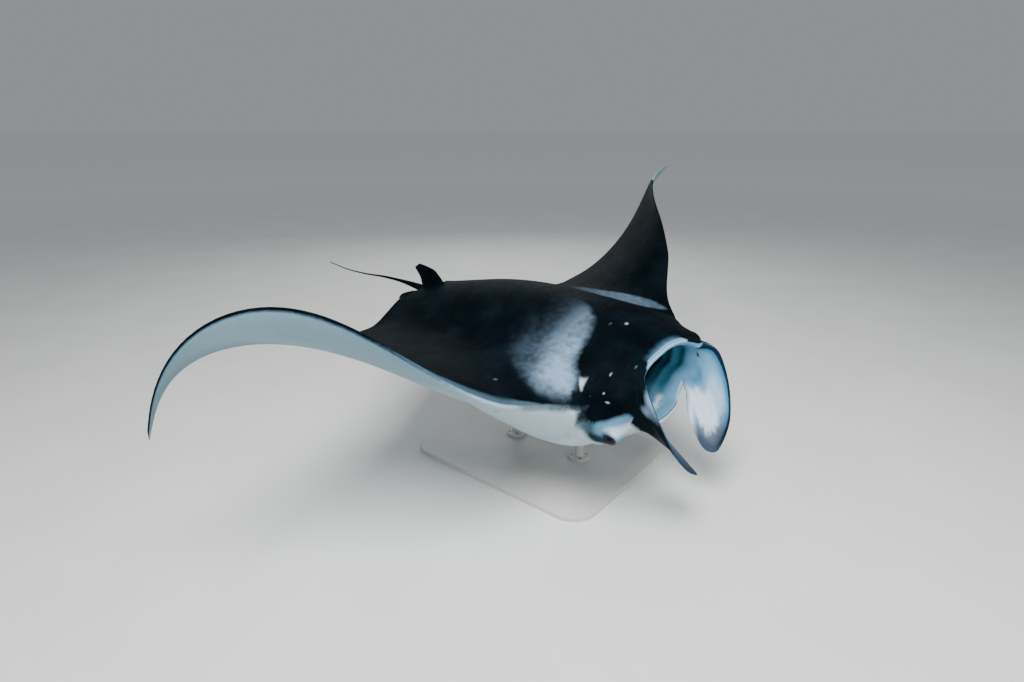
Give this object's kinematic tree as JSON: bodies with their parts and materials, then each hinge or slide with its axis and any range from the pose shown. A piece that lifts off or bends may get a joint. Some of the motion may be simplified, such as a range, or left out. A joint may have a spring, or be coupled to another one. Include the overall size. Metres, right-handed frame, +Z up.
{
  "type": "manta ray model",
  "caption": "Life-size reef manta ray in a gliding pose, wings arched, mouth open between its curled cephalic fins, held over a flat base by rods.",
  "frame": {"origin": "middle of the underside of the stand's base", "axes": "+X the way the ray heads, +Y to its left, +Z up"},
  "size_m": [2.3324, 3.1531, 1.1877],
  "materials": {
    "back_skin": "matt wet-look skin, blue-black above with pale shoulder patches, white below",
    "head_skin": "matt wet-look skin, black above, white round the mouth and below",
    "fin_skin": "matt wet-look skin, pale inside with fine streaks, black margin and tip",
    "eye": "glossy dark eyeball",
    "stand": "satin pale grey paint"
  },
  "bodies": {
    "root": {"wing_left": "back_skin", "wing_right": "back_skin", "cephalic_fin_left": "fin_skin", "cephalic_fin_right": "fin_skin", "head": "head_skin", "trunk": "back_skin", "dorsal_fin": "back_skin", "tail": "back_skin", "pelvic_fin_left": "back_skin", "pelvic_fin_right": "back_skin", "eye_left": "eye", "eye_right": "eye", "stand_base": "stand", "stand_rod_front": "stand", "stand_rod_rear": "stand"}
  },
  "joints": []
}
